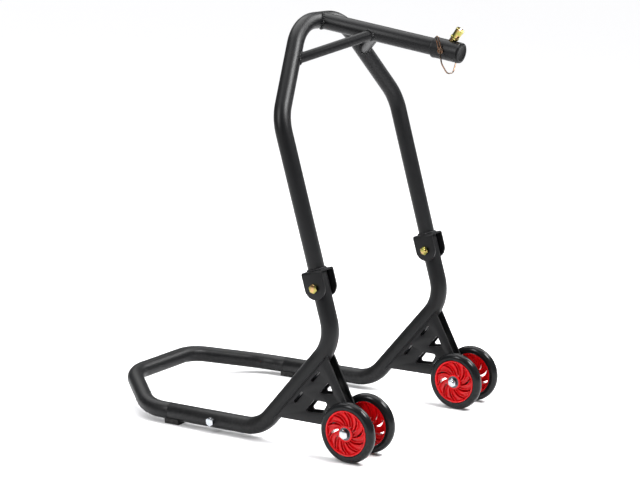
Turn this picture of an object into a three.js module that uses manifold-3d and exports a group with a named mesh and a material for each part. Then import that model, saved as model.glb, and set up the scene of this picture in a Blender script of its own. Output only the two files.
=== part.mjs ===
// Front paddock stand for a motorcycle: a wheeled base of two bent side tubes and a rear handle,
// with a folding upper frame whose arm carries a stem pin under the steering head.
// Millimetres. +X is the right-hand side, +Y the front (arm) end, +Z up. The floor is z = 0.

import * as THREE from 'three';
import { mergeVertices } from 'three/addons/utils/BufferGeometryUtils.js';
import Module from 'manifold-3d';

const wasm = await Module();
wasm.setup();

// ---------------------------------------------------------------- driving dimensions

const GAP = 0.3; // between pieces that touch on the real stand

const TRACK_HALF = 220; // from the middle of the stand to the middle of a side tube
const SIDE_TUBE = { outer: 18.6, inner: 16.6 };
const UPPER_TUBE = { outer: 17.5, inner: 15.5 };
const BRACE_TUBE = { outer: 10.6, inner: 8.8 };

const WHEEL_RADIUS = 62.5;
const RIM_RADIUS = 47; // where the tyre meets the plastic hub
const WHEEL_WIDTH = 24;
const WHEEL_OFFSET = 38; // from the side tube's plane to the middle of each wheel
const AXLE = { y: 0, z: WHEEL_RADIUS };

const BASE_HEIGHT = 25; // centre line of the base run of a side tube
const SEAM_Y = -478; // where the rear handle meets the side tubes
const FLOOR_BEND_Y = -240.5; // corner between the base run and the slope
const KNEE = { y: -55.3, z: 233.7 }; // corner between the slope and the upright
const SIDE_BEND_RADIUS = 85;

const LEAN = THREE.MathUtils.degToRad(14.8); // the upper frame leans back by this much
const HINGE = { y: -85, z: 344.7 };
const LEG_START = 34.7; // from the hinge, along the leg
const SHOULDER = { x: 222, along: 345.6 };
const TOP_CORNER = { x: 79, along: 532.8 };
const SHOULDER_RADIUS = 90;
const TOP_RADIUS = 110;

const HANDLE_CORNER_Y = -543; // first bend of the rear handle, where it turns in and up
const HANDLE_REAR = { x: 107, y: -678, z: 55 }; // second bend, where the cross grip starts
const HANDLE_RADII = { corner: 115, grip: 80 };

const PLATE = { thickness: 4, offset: 12.6 }; // gusset plates either side of a side tube's plane

const ARM_DROP = THREE.MathUtils.degToRad(9.9); // the arm slopes down towards the front
const ARM_LENGTH = 339;
const SLEEVE = { outer: 21, inner: 17.8, length: 60, lip: 21.7, lipLength: 7 };
const CROSSING = 306; // along the arm, where the stem pin and the lock pin cross
const STEM_TILT = THREE.MathUtils.degToRad(39); // stem pin, forward of upright
const STEM = { shank: 7.5, body: 9.3, below: 15, seat: 30, top: 53 };
const LOCK_PIN = { radius: 4, tip: 28.5, head: 6.2, headLength: 4 };
const LOCK_WIRE = { radius: 1.5, drop: 47, forward: 9 };

const BOLT_RADIUS = 5; // every bolt is an M10
const BOLT_HOLE = 5.15;
const BOLT_TAIL = 11; // from the nut's seat to the end of the thread
const HINGE_BUSH_RADIUS = 8;
const SPACER_RADIUS = { middle: 9, side: 8.5 };
const HEX = { acrossFlats: 17, head: 6.4, nut: 8 };

// ---------------------------------------------------------------- materials

function standard(color, roughness, metalness) {
  return new THREE.MeshStandardMaterial({ color, roughness, metalness });
}

const powderCoat = standard(0x202022, 0.5, 0.0);
const tyreRubber = standard(0x141416, 0.25, 0.0);
const hubPlastic = standard(0xc01624, 0.22, 0.0);
const brightZinc = standard(0xc8ccd0, 0.2, 1.0);
const yellowZinc = standard(0xb0a456, 0.3, 1.0);
const bronzeZinc = standard(0x9a7a52, 0.35, 1.0);
const bearingSteel = standard(0x8c8e92, 0.35, 1.0);
const footRubber = standard(0x18181a, 0.8, 0.0);
const capPlastic = standard(0x161618, 0.5, 0.0);

// ---------------------------------------------------------------- solids

// Strips a geometry to its positions, merges its vertices and turns its faces outwards.
function closed(geometry) {
  const bare = new THREE.BufferGeometry();
  bare.setAttribute('position', geometry.getAttribute('position'));
  if (geometry.index) bare.setIndex(geometry.index);
  const merged = mergeVertices(bare, 1e-4);
  const index = Array.from(merged.index.array);
  const kept = [];
  const corner = [new THREE.Vector3(), new THREE.Vector3(), new THREE.Vector3()];
  let volume = 0;
  for (let i = 0; i < index.length; i += 3) {
    const [a, b, c] = index.slice(i, i + 3);
    if (a === b || b === c || c === a) continue;
    kept.push(a, b, c);
    [a, b, c].forEach((vertex, k) => corner[k].fromBufferAttribute(merged.attributes.position, vertex));
    volume += corner[0].dot(corner[1].clone().cross(corner[2]));
  }
  if (volume < 0) {
    for (let i = 0; i < kept.length; i += 3) [kept[i], kept[i + 1]] = [kept[i + 1], kept[i]];
  }
  merged.setIndex(kept);
  return merged;
}

function toManifold(geometry) {
  const solid = closed(geometry);
  return new wasm.Manifold(new wasm.Mesh({
    numProp: 3,
    vertProperties: new Float32Array(solid.attributes.position.array),
    triVerts: new Uint32Array(solid.index.array),
  }));
}

function fromManifold(manifold) {
  const mesh = manifold.getMesh();
  const geometry = new THREE.BufferGeometry();
  geometry.setAttribute('position', new THREE.BufferAttribute(new Float32Array(mesh.vertProperties), 3));
  geometry.setIndex(new THREE.BufferAttribute(new Uint32Array(mesh.triVerts), 1));
  return geometry;
}

function join(...geometries) {
  return fromManifold(geometries.map(toManifold).reduce((sum, next) => sum.add(next)));
}

function cut(geometry, ...tools) {
  const whole = toManifold(geometry);
  return fromManifold(tools.map(toManifold).reduce((left, tool) => left.subtract(tool), whole));
}

// A rod along X between two stations. Its flats lie on the radius when it is used as a drill.
function rodX(radius, from, to, sides = 12) {
  const rod = new THREE.CylinderGeometry(radius, radius, Math.abs(to - from), sides);
  rod.rotateZ(-Math.PI / 2);
  rod.translate((from + to) / 2, 0, 0);
  return rod;
}

function drillX(radius, from, to, sides = 12) {
  return rodX(radius / Math.cos(Math.PI / sides), from, to, sides);
}

// A ring along X, turned from a closed profile of [radius, x] pairs.
function turnedX(profile, segments) {
  const points = profile.map(([radius, x]) => new THREE.Vector2(radius, x));
  const ring = new THREE.LatheGeometry(points, segments);
  ring.rotateZ(-Math.PI / 2);
  return closed(ring);
}

function bushX(outer, inner, from, to, segments = 12) {
  const bore = inner / Math.cos(Math.PI / segments);
  return turnedX([[bore, from], [outer, from], [outer, to], [bore, to], [bore, from]], segments);
}

// The line of a bent tube: straights joined by arcs, with a station at each end of a straight
// and at even steps round each arc.
class BentRoute extends THREE.Curve {
  constructor(corners, radii, stepAngle = THREE.MathUtils.degToRad(12)) {
    super();
    const last = corners.length - 1;
    const first = corners[1].clone().sub(corners[0]).normalize();
    this.stations = [{ point: corners[0], tangent: first }];
    for (let i = 1; i < last; i++) {
      this.addBend(corners[i - 1], corners[i], corners[i + 1], radii[i - 1], stepAngle);
    }
    const end = corners[last].clone().sub(corners[last - 1]).normalize();
    this.stations.push({ point: corners[last], tangent: end });
  }

  addBend(before, corner, after, radius, stepAngle) {
    const incoming = corner.clone().sub(before).normalize();
    const outgoing = after.clone().sub(corner).normalize();
    const angle = incoming.angleTo(outgoing);
    const axis = incoming.clone().cross(outgoing).normalize();
    const start = corner.clone().addScaledVector(incoming, -radius * Math.tan(angle / 2));
    const centre = start.clone().addScaledVector(axis.clone().cross(incoming), radius);
    const steps = Math.max(2, Math.round(angle / stepAngle));
    for (let k = 0; k <= steps; k++) {
      const turn = angle * k / steps;
      const point = start.clone().sub(centre).applyAxisAngle(axis, turn).add(centre);
      const tangent = incoming.clone().applyAxisAngle(axis, turn);
      this.stations.push({ point, tangent });
    }
  }

  station(u) {
    return this.stations[Math.round(u * (this.stations.length - 1))];
  }

  getPoint(t, target = new THREE.Vector3()) {
    return target.copy(this.station(t).point);
  }

  getPointAt(u, target = new THREE.Vector3()) {
    return target.copy(this.station(u).point);
  }

  getTangentAt(u, target = new THREE.Vector3()) {
    return target.copy(this.station(u).tangent);
  }

  getSpacedPoints() {
    return this.stations.map((station) => station.point.clone());
  }
}

function polygon(radius, sides) {
  const points = [];
  for (let k = 0; k < sides; k++) {
    const angle = 2 * Math.PI * k / sides;
    points.push(new THREE.Vector2(radius * Math.cos(angle), radius * Math.sin(angle)));
  }
  return points;
}

function sweep(section, route) {
  return closed(new THREE.ExtrudeGeometry(section, {
    extrudePath: route,
    steps: route.stations.length - 1,
    bevelEnabled: false,
  }));
}

// A hollow tube along a route, open at both ends.
function tube(size, route, sides = 14, boreSides = 10) {
  const section = new THREE.Shape(polygon(size.outer, sides));
  section.holes.push(new THREE.Path(polygon(size.inner / Math.cos(Math.PI / boreSides), boreSides)));
  return sweep(section, route);
}

// The same tube filled in and swollen by the gap, used to cut saddles and fishmouths.
function tubeCutter(size, route, sides = 14) {
  return sweep(new THREE.Shape(polygon((size.outer + GAP) / Math.cos(Math.PI / sides), sides)), route);
}

function wire(radius, route, sides = 8) {
  return sweep(new THREE.Shape(polygon(radius, sides)), route);
}

// A flat plate: an outline in the YZ plane given a thickness centred on x = 0.
function plateX(outline, holes, thickness) {
  const shape = new THREE.Shape(outline);
  holes.forEach((hole) => shape.holes.push(new THREE.Path(hole)));
  const plate = new THREE.ExtrudeGeometry(shape, { depth: thickness, bevelEnabled: false });
  plate.translate(0, 0, -thickness / 2);
  const toYZ = new THREE.Matrix4().makeBasis(
    new THREE.Vector3(0, 1, 0), new THREE.Vector3(0, 0, 1), new THREE.Vector3(1, 0, 0));
  plate.applyMatrix4(toYZ);
  return closed(plate);
}

// Rounds every corner of a closed outline with the same radius.
function rounded(corners, radius, steps = 4) {
  const outline = [];
  corners.forEach((corner, i) => {
    const before = corners[(i + corners.length - 1) % corners.length].clone().sub(corner).normalize();
    const after = corners[(i + 1) % corners.length].clone().sub(corner).normalize();
    const half = Math.acos(before.dot(after)) / 2;
    const centre = before.clone().add(after).normalize().multiplyScalar(radius / Math.sin(half)).add(corner);
    const reach = radius / Math.tan(half);
    const start = corner.clone().addScaledVector(before, reach).sub(centre);
    const end = corner.clone().addScaledVector(after, reach).sub(centre);
    const sweepAngle = Math.atan2(start.cross(end), start.dot(end));
    for (let k = 0; k <= steps; k++) {
      outline.push(start.clone().rotateAround(new THREE.Vector2(), sweepAngle * k / steps).add(centre));
    }
  });
  return outline;
}

function arcPoints(centre, radius, from, to, steps) {
  const points = [];
  for (let k = 0; k <= steps; k++) {
    const angle = from + (to - from) * k / steps;
    points.push(new THREE.Vector2(centre.x + radius * Math.cos(angle), centre.y + radius * Math.sin(angle)));
  }
  return points;
}

// ---------------------------------------------------------------- assembly

const stand = new THREE.Group();

function place(name, geometry, material, position = [0, 0, 0], rotationX = 0, parent = stand) {
  const mesh = new THREE.Mesh(closed(geometry), material);
  mesh.name = name;
  mesh.position.set(...position);
  mesh.rotation.x = rotationX;
  parent.add(mesh);
  return mesh;
}

const SIDES = [{ name: 'right', sign: 1 }, { name: 'left', sign: -1 }];
const yz = (y, z, x = 0) => new THREE.Vector3(x, y, z);

// Bolts run along X with the head at +x, and are turned round for the left side.
function hexPrism(from, to) {
  return rodX(HEX.acrossFlats / Math.sqrt(3), from, to, 6);
}

function bolt(headAt, shankEnd) {
  return join(hexPrism(headAt, headAt + HEX.head), rodX(BOLT_RADIUS, shankEnd, headAt + 1));
}

function nut(at) {
  return cut(hexPrism(at - HEX.nut, at), drillX(BOLT_HOLE, at - HEX.nut - 1, at + 1));
}

function mirroredX(geometry, sign) {
  return sign > 0 ? geometry : geometry.clone().rotateZ(Math.PI);
}

// ---------------------------------------------------------------- side tubes

// Up the leg from the hinge, in the side tube's plane.
function alongLeg(distance) {
  return { y: HINGE.y - Math.sin(LEAN) * distance, z: HINGE.z + Math.cos(LEAN) * distance };
}

const TUBE_TOP = 30; // end of the side tube above the hinge
const sideTubeEnd = alongLeg(TUBE_TOP);
const sideRoute = new BentRoute(
  [
    yz(SEAM_Y, BASE_HEIGHT), yz(FLOOR_BEND_Y, BASE_HEIGHT),
    yz(KNEE.y, KNEE.z), yz(sideTubeEnd.y, sideTubeEnd.z),
  ],
  [SIDE_BEND_RADIUS, SIDE_BEND_RADIUS]);

const JOINT_BOLT_Y = -358;

function hingeFrame(geometry) {
  return geometry.clone().rotateX(LEAN).translate(0, HINGE.y, HINGE.z);
}

// The rear corner of the tube's end is cut away, so that the bracket can swing back over it.
function endRelief() {
  const block = new THREE.BoxGeometry(60, 40, 20);
  block.translate(0, -20, 10);
  block.rotateX(THREE.MathUtils.degToRad(20));
  block.translate(0, 0.5, TUBE_TOP);
  return hingeFrame(block);
}

function sideTube() {
  const jointHole = drillX(BOLT_HOLE, -30, 30).translate(0, JOINT_BOLT_Y, BASE_HEIGHT);
  const bushHole = hingeFrame(drillX(HINGE_BUSH_RADIUS + GAP, -30, 30));
  return cut(tube(SIDE_TUBE, sideRoute), jointHole, bushHole, endRelief());
}

// ---------------------------------------------------------------- gusset plates

const outlineYZ = (pairs) => pairs.map(([y, z]) => new THREE.Vector2(y, z));

const TRIANGLE_HOLE = outlineYZ([[-85, 124], [-60.5, 153], [-48.5, 128.5]]);
const SKEW_HOLE = outlineYZ([[-121, 81], [-97, 109.5], [-63, 108.5], [-77, 83.5]]);
const SLOTS = [[[-102, 147.5], [-82, 170.5]], [[-144.5, 98], [-124, 122]]];
const SLOT_RADIUS = 3.4;

function slotOutline([from, to]) {
  const angle = Math.atan2(to[1] - from[1], to[0] - from[0]);
  const inset = new THREE.Vector2(Math.cos(angle), Math.sin(angle)).multiplyScalar(SLOT_RADIUS);
  const start = new THREE.Vector2(...from).add(inset);
  const end = new THREE.Vector2(...to).sub(inset);
  return [
    ...arcPoints(end, SLOT_RADIUS, angle - Math.PI / 2, angle + Math.PI / 2, 6),
    ...arcPoints(start, SLOT_RADIUS, angle + Math.PI / 2, angle + 3 * Math.PI / 2, 6),
  ];
}

// Bottom edge, lobe round the axle, front edge up to the knee, and back down inside the side tube.
function gussetOutline() {
  const lobeRadius = 19;
  const lobe = arcPoints(new THREE.Vector2(AXLE.y, AXLE.z), lobeRadius, -2.1, 0.45, 14);
  return [
    ...outlineYZ([[-200, 60], [-45, 60], [-24, 54]]),
    ...lobe,
    ...outlineYZ([[-14, 104], [-62, 201], [-70, 217.2]]),
  ];
}

function gussetPlate(x) {
  const holes = [rounded(TRIANGLE_HOLE, 2.5), rounded(SKEW_HOLE, 4), ...SLOTS.map(slotOutline)];
  const plate = plateX(gussetOutline(), holes, PLATE.thickness);
  plate.translate(x, 0, 0);
  const axleHole = drillX(BOLT_HOLE, x - 5, x + 5).translate(0, AXLE.y, AXLE.z);
  return cut(plate, tubeCutter(SIDE_TUBE, sideRoute), axleHole);
}

// ---------------------------------------------------------------- wheels

const BEARING = { outer: 13, inner: 5.15, width: 8 };
const SPOKES = 10;
const RIM_INNER = 40.5;

// A plain ring about the wheel's axle, its corners on the given radii.
function bushFromRadii(outer, inner, half, segments) {
  return turnedX([[inner, -half], [outer, -half], [outer, half], [inner, half], [inner, -half]], segments);
}

function tyre() {
  const half = WHEEL_WIDTH / 2;
  const seat = RIM_RADIUS + GAP;
  return turnedX([
    [seat, -half + 2.5], [52, -half + 1], [58, -half + 3], [61.3, -half + 6.5], [WHEEL_RADIUS, 0],
    [61.3, half - 6.5], [58, half - 3], [52, half - 1], [seat, half - 2.5], [seat, -half + 2.5],
  ], 24);
}

// A spoke sweeps round as it goes out, like a fan blade.
function spoke(angle) {
  const sweepBack = THREE.MathUtils.degToRad(42);
  const root = 15;
  const edge = (radius, offset) => {
    const turn = angle + sweepBack * (radius - root) / (RIM_RADIUS - root) + offset / radius;
    return new THREE.Vector2(radius * Math.cos(turn), radius * Math.sin(turn));
  };
  const stations = [root - 1, 28, 42];
  const halfWidth = 3;
  const depth = 15;
  const outline = [
    ...stations.map((radius) => edge(radius, -halfWidth)),
    ...stations.slice().reverse().map((radius) => edge(radius, halfWidth)),
  ];
  return plateX(outline, [], depth);
}

function hub() {
  const half = WHEEL_WIDTH / 2;
  const face = half - 2;
  const rim = bushFromRadii(RIM_RADIUS, RIM_INNER, face, 24);
  const boss = rodX(17, -half, half, 14);
  const spokes = [];
  for (let k = 0; k < SPOKES; k++) spokes.push(spoke(2 * Math.PI * k / SPOKES));
  const seatFloor = half - BEARING.width - GAP;
  const seats = [[-half - 1, -seatFloor], [seatFloor, half + 1]].map(
    ([from, to]) => drillX(BEARING.outer + GAP, from, to, 14));
  return cut(join(rim, boss, ...spokes), ...seats, drillX(8, -half, half, 8));
}

function wheelSet(side) {
  const wheels = [{ name: 'outer', x: WHEEL_OFFSET }, { name: 'inner', x: -WHEEL_OFFSET }];
  wheels.forEach((wheel) => {
    const centre = [side.sign * (TRACK_HALF + wheel.x), AXLE.y, AXLE.z];
    const label = `${side.name}_${wheel.name}`;
    place(`tyre_${label}`, tyre(), tyreRubber, centre);
    place(`wheel_hub_${label}`, hub(), hubPlastic, centre);
    ['a', 'b'].forEach((letter, k) => {
      const half = BEARING.width / 2;
      const middle = (k ? 1 : -1) * (WHEEL_WIDTH / 2 - half);
      const bearing = bushX(BEARING.outer, BEARING.inner, middle - half, middle + half);
      place(`bearing_${label}_${letter}`, bearing, bearingSteel, centre);
    });
  });
}

function axleSet(side) {
  const centre = [side.sign * TRACK_HALF, AXLE.y, AXLE.z];
  const plateOuter = PLATE.offset + PLATE.thickness / 2;
  const plateInner = PLATE.offset - PLATE.thickness / 2;
  const wheelInner = WHEEL_OFFSET - WHEEL_WIDTH / 2;
  const wheelOuter = WHEEL_OFFSET + WHEEL_WIDTH / 2 + GAP;
  const spacerEnds = [plateOuter + GAP, wheelInner - GAP];
  const axleBolt = bolt(wheelOuter, -wheelOuter - BOLT_TAIL);
  place(`axle_bolt_${side.name}`, mirroredX(axleBolt, side.sign), brightZinc, centre);
  place(`axle_nut_${side.name}`, mirroredX(nut(-wheelOuter), side.sign), brightZinc, centre);
  place(`axle_spacer_middle_${side.name}`,
    bushX(SPACER_RADIUS.middle, BOLT_HOLE, -plateInner + GAP, plateInner - GAP), brightZinc, centre);
  place(`axle_spacer_outer_${side.name}`,
    mirroredX(bushX(SPACER_RADIUS.side, BOLT_HOLE, ...spacerEnds), side.sign), brightZinc, centre);
  place(`axle_spacer_inner_${side.name}`,
    mirroredX(bushX(SPACER_RADIUS.side, BOLT_HOLE, ...spacerEnds), -side.sign), brightZinc, centre);
}

// ---------------------------------------------------------------- rear handle and its joints

function rearHandle() {
  const half = [
    yz(SEAM_Y - GAP, BASE_HEIGHT, TRACK_HALF),
    yz(HANDLE_CORNER_Y, BASE_HEIGHT, TRACK_HALF),
    yz(HANDLE_REAR.y, HANDLE_REAR.z, HANDLE_REAR.x),
  ];
  const mirrored = half.map((point) => yz(point.y, point.z, -point.x)).reverse();
  const { corner, grip } = HANDLE_RADII;
  return tube(SIDE_TUBE, new BentRoute([...half, ...mirrored], [corner, grip, grip, corner]));
}

// A tube that slides inside the side tube and the handle and carries the bolt.
const JOINT_SLEEVE = { outer: 16.1, inner: 14, front: -336, rear: -489 };

function jointSleeve() {
  const route = new BentRoute([yz(JOINT_SLEEVE.rear, BASE_HEIGHT), yz(JOINT_SLEEVE.front, BASE_HEIGHT)], []);
  const hole = drillX(BOLT_HOLE, -30, 30).translate(0, JOINT_BOLT_Y, BASE_HEIGHT);
  return cut(tube(JOINT_SLEEVE, route), hole);
}

const FOOT = { length: 36, width: 27, height: 12, ahead: 8 }; // ahead of the seam

function foot() {
  const block = new THREE.BoxGeometry(FOOT.width, FOOT.length, FOOT.height);
  block.translate(0, SEAM_Y + FOOT.ahead, FOOT.height / 2);
  const saddle = new BentRoute([yz(SEAM_Y - 40, BASE_HEIGHT), yz(SEAM_Y + 40, BASE_HEIGHT)], []);
  return cut(block, tubeCutter(SIDE_TUBE, saddle));
}

function baseSide(side) {
  const x = side.sign * TRACK_HALF;
  const seat = SIDE_TUBE.outer + GAP;
  place(`side_tube_${side.name}`, sideTube(), powderCoat, [x, 0, 0]);
  place(`gusset_outer_${side.name}`, gussetPlate(side.sign * PLATE.offset), powderCoat, [x, 0, 0]);
  place(`gusset_inner_${side.name}`, gussetPlate(-side.sign * PLATE.offset), powderCoat, [x, 0, 0]);
  place(`joint_sleeve_${side.name}`, jointSleeve(), brightZinc, [x, 0, 0]);
  place(`handle_bolt_${side.name}`, mirroredX(bolt(seat, -seat - BOLT_TAIL), side.sign), brightZinc,
    [x, JOINT_BOLT_Y, BASE_HEIGHT]);
  place(`handle_nut_${side.name}`, mirroredX(nut(-seat), side.sign), brightZinc,
    [x, JOINT_BOLT_Y, BASE_HEIGHT]);
  place(`foot_${side.name}`, foot(), footRubber, [x, 0, 0]);
}

// ---------------------------------------------------------------- folding hinge

const CHEEK = { radius: 24.5, inside: 19, thickness: 4, top: 34.4 };

// A folded channel whose two cheeks hang over the side tube's end.
function hingeBracket() {
  const outline = [
    ...arcPoints(new THREE.Vector2(), CHEEK.radius, -Math.PI, 0, 18),
    new THREE.Vector2(CHEEK.radius, CHEEK.top),
    new THREE.Vector2(-CHEEK.radius, CHEEK.top),
  ];
  const cheeks = [1, -1].map((sign) => {
    const cheek = plateX(outline, [], CHEEK.thickness);
    return cheek.translate(sign * (CHEEK.inside + CHEEK.thickness / 2), 0, 0);
  });
  const web = new THREE.BoxGeometry(2 * CHEEK.inside + 2, 2 * CHEEK.radius, CHEEK.thickness);
  web.translate(0, 0, CHEEK.top - CHEEK.thickness / 2);
  return cut(join(...cheeks, web), drillX(BOLT_HOLE, -30, 30));
}

function hingeSide(side) {
  const centre = [side.sign * TRACK_HALF, HINGE.y, HINGE.z];
  const seat = CHEEK.inside + CHEEK.thickness + GAP;
  place(`hinge_bracket_${side.name}`, hingeBracket(), powderCoat, centre, LEAN);
  const bushHalf = CHEEK.inside - GAP;
  const bush = bushX(HINGE_BUSH_RADIUS, BOLT_HOLE, -bushHalf, bushHalf);
  place(`hinge_bush_${side.name}`, bush, brightZinc, centre, LEAN);
  const hingeBolt = bolt(seat, -seat - BOLT_TAIL);
  place(`hinge_bolt_${side.name}`, mirroredX(hingeBolt, side.sign), yellowZinc, centre, LEAN);
  place(`hinge_nut_${side.name}`, mirroredX(nut(-seat), side.sign), yellowZinc, centre, LEAN);
}

// ---------------------------------------------------------------- upper frame

function upperCorners() {
  const start = alongLeg(LEG_START);
  const shoulder = alongLeg(SHOULDER.along);
  const top = alongLeg(TOP_CORNER.along);
  const half = [
    yz(start.y, start.z, TRACK_HALF),
    yz(shoulder.y, shoulder.z, SHOULDER.x),
    yz(top.y, top.z, TOP_CORNER.x),
  ];
  return [...half, ...half.map((point) => yz(point.y, point.z, -point.x)).reverse()];
}

const upperRoute = new BentRoute(
  upperCorners(), [SHOULDER_RADIUS, TOP_RADIUS, TOP_RADIUS, SHOULDER_RADIUS]);

const armRoot = alongLeg(TOP_CORNER.along);

function alongArm(distance) {
  return yz(armRoot.y + Math.cos(ARM_DROP) * distance, armRoot.z - Math.sin(ARM_DROP) * distance);
}

const crossing = alongArm(CROSSING);

// Turns a shape built along +Z about the crossing point into the stem pin's direction.
function stemFrame(geometry) {
  return geometry.clone().rotateX(-STEM_TILT).translate(0, crossing.y, crossing.z);
}

function rodZ(radius, from, to, sides = 12) {
  const rod = new THREE.CylinderGeometry(radius, radius, to - from, sides);
  rod.rotateX(Math.PI / 2);
  rod.translate(0, 0, (from + to) / 2);
  return rod;
}

function lockPinHole() {
  return drillX(LOCK_PIN.radius + 0.2, -40, 40).translate(0, crossing.y, crossing.z);
}

function stemHole() {
  return stemFrame(rodZ(STEM.shank + 0.4, -STEM.below - 0.6, 50));
}

function armTube() {
  const route = new BentRoute([alongArm(0), alongArm(ARM_LENGTH)], []);
  return cut(tube(UPPER_TUBE, route), tubeCutter(UPPER_TUBE, upperRoute), stemHole(), lockPinHole());
}

const sleeveStart = ARM_LENGTH - SLEEVE.length;

function headSleeve() {
  const sleeveBore = { outer: SLEEVE.outer, inner: SLEEVE.inner };
  const lipBore = { outer: SLEEVE.lip, inner: SLEEVE.inner };
  const body = new BentRoute([alongArm(sleeveStart), alongArm(ARM_LENGTH)], []);
  const lip = new BentRoute([alongArm(sleeveStart), alongArm(sleeveStart + SLEEVE.lipLength)], []);
  return cut(join(tube(sleeveBore, body, 16, 10), tube(lipBore, lip, 16, 10)), stemHole(), lockPinHole());
}

function endCap() {
  const disc = new BentRoute([alongArm(ARM_LENGTH + GAP), alongArm(ARM_LENGTH + 3)], []);
  const plug = new BentRoute([alongArm(ARM_LENGTH - 9), alongArm(ARM_LENGTH + 1)], []);
  const round = (radius, sides) => new THREE.Shape(polygon(radius, sides));
  return join(sweep(round(SLEEVE.outer - 0.6, 18), disc), sweep(round(UPPER_TUBE.inner - GAP, 18), plug));
}

// A turned pin: shank in the sleeve, a thicker body above it, and a dished top.
function stemPin() {
  const profile = [
    [0, -STEM.below], [STEM.shank - 1, -STEM.below], [STEM.shank, -STEM.below + 1],
    [STEM.shank, STEM.seat], [STEM.body - 0.8, STEM.seat], [STEM.body, STEM.seat + 0.8],
    [STEM.body, STEM.top - 1], [STEM.body - 1, STEM.top], [STEM.body - 4.5, STEM.top], [0, STEM.top - 4],
  ];
  const turned = new THREE.LatheGeometry(profile.map((pair) => new THREE.Vector2(...pair)), 16);
  turned.rotateX(Math.PI / 2);
  return cut(stemFrame(turned), lockPinHole());
}

const BRACE_ON_SHOULDER = 0.59; // share of the way from the shoulder corner to the top corner
const BRACE_ON_ARM = 139; // along the arm

function brace(sign) {
  const corners = upperCorners();
  const onShoulder = corners[1].clone().lerp(corners[2], BRACE_ON_SHOULDER);
  onShoulder.x *= sign;
  const onArm = alongArm(BRACE_ON_ARM);
  onArm.x = sign * 4;
  const armRoute = new BentRoute([alongArm(0), alongArm(ARM_LENGTH)], []);
  const route = new BentRoute([onShoulder, onArm], []);
  return cut(tube(BRACE_TUBE, route, 12, 8),
    tubeCutter(UPPER_TUBE, upperRoute), tubeCutter(UPPER_TUBE, armRoute));
}

// ---------------------------------------------------------------- lock pin and its wire

// The pin crosses the sleeve and the stem pin. A hairpin of wire rises from its head.
function lockPin() {
  const headFrom = SLEEVE.outer + 0.6;
  const headTo = headFrom + LOCK_PIN.headLength;
  const shank = rodX(LOCK_PIN.radius, -LOCK_PIN.tip, headFrom + 1, 12);
  const head = rodX(LOCK_PIN.head, headFrom, headTo, 14);
  const dimple = rodX(2.6, headTo - 2.5, headTo + 1, 10);
  const wireX = headFrom + 2.2;
  const hairpin = new BentRoute([
    new THREE.Vector3(wireX, 3, 0), new THREE.Vector3(wireX, -5.5, 29),
    new THREE.Vector3(wireX, -10.5, 27.5), new THREE.Vector3(wireX, -3, 0),
  ], [2.5, 2.5], THREE.MathUtils.degToRad(40));
  return cut(join(shank, head, wire(1.3, hairpin, 6)), dimple);
}

// The bail hangs from the head, goes round under the sleeve and hooks over the pin's far end.
const BAIL_PIVOT_X = SLEEVE.outer + 0.6 + LOCK_PIN.headLength + GAP + LOCK_WIRE.radius;
const BAIL_PIVOT_Z = 2.5;

function lockWire() {
  const far = -LOCK_PIN.tip - 2 * GAP - LOCK_WIRE.radius;
  const { drop, forward } = LOCK_WIRE;
  const at = (x, share) => new THREE.Vector3(x, forward * share, -drop * share);
  const route = new BentRoute([
    new THREE.Vector3(BAIL_PIVOT_X, 0, BAIL_PIVOT_Z), at(BAIL_PIVOT_X, 0.55), at(12, 1),
    at(-12, 1), at(far, 0.6), new THREE.Vector3(far, 0.7, 4),
  ], [14, 16, 16, 14], THREE.MathUtils.degToRad(15));
  return wire(LOCK_WIRE.radius, route, 6);
}

// ---------------------------------------------------------------- put together

SIDES.forEach((side) => {
  baseSide(side);
  axleSet(side);
  wheelSet(side);
  hingeSide(side);
});

place('rear_handle', rearHandle(), powderCoat);
place('upper_frame_tube', tube(UPPER_TUBE, upperRoute), powderCoat);
place('arm_tube', armTube(), powderCoat);
SIDES.forEach((side) => place(`brace_${side.name}`, brace(side.sign), powderCoat));
place('head_sleeve', headSleeve(), powderCoat);
place('end_cap', endCap(), capPlastic);
place('stem_pin', stemPin(), yellowZinc);
place('lock_pin', lockPin(), bronzeZinc, [0, crossing.y, crossing.z]);
place('lock_wire', lockWire(), bronzeZinc, [0, crossing.y, crossing.z]);

// The origin is on the floor, midway between the handle and the front of the arm.
const extent = new THREE.Box3().setFromObject(stand);
stand.position.y = -(extent.min.y + extent.max.y) / 2;

const part = new THREE.Group();
part.add(stand);

export default part;
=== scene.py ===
"""Finished surfaces of a front paddock stand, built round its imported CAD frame.

Metres. +X is the stand's right-hand side, +Y its front, +Z up. The floor is z = 0.
"""

import math

import bpy
from mathutils import Matrix, Vector


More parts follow.
